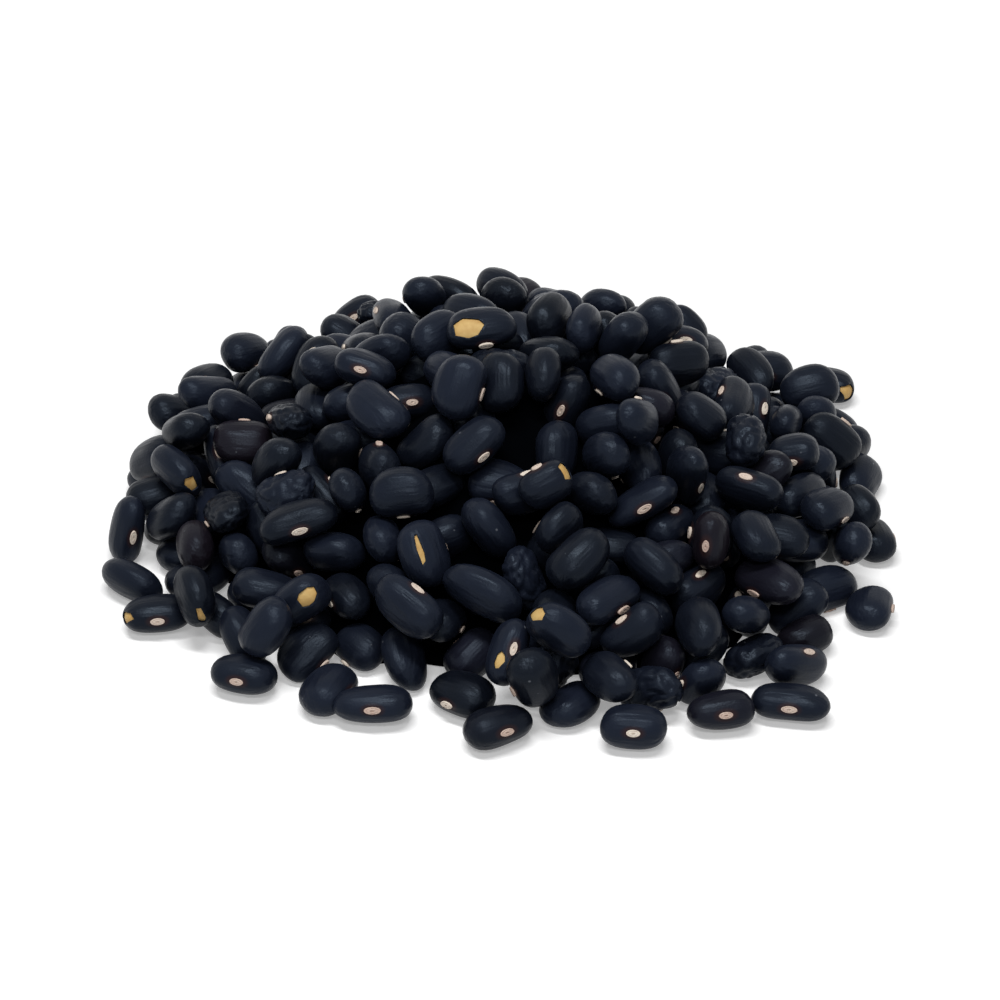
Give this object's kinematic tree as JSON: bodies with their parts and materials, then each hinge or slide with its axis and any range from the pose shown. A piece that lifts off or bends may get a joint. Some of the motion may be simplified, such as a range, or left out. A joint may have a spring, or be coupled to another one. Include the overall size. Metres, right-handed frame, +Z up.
{
  "type": "heap of dried black beans",
  "caption": "Loose heap of dried black beans lying on a flat surface: a low rounded mound with an uneven foot and a few beans that rolled clear of it.",
  "frame": {"origin": "middle of the heap's footprint, on the surface that it lies on", "axes": "+Z up; +X across the heap, its longest extent; -Y towards the viewer, the side where the loose beans lie"},
  "size_m": [0.1232, 0.1182, 0.0337],
  "materials": {
    "seed_coat": "satin blue-black skin of a dried bean, finely wrinkled",
    "seed_eye": "matt cream scar where the bean hung in its pod",
    "seed_leaf": "matt tan inside of a bean, bare where its skin has chipped off"
  },
  "bodies": {
    "root": {"bean_heap": "seed_coat"}
  },
  "joints": []
}
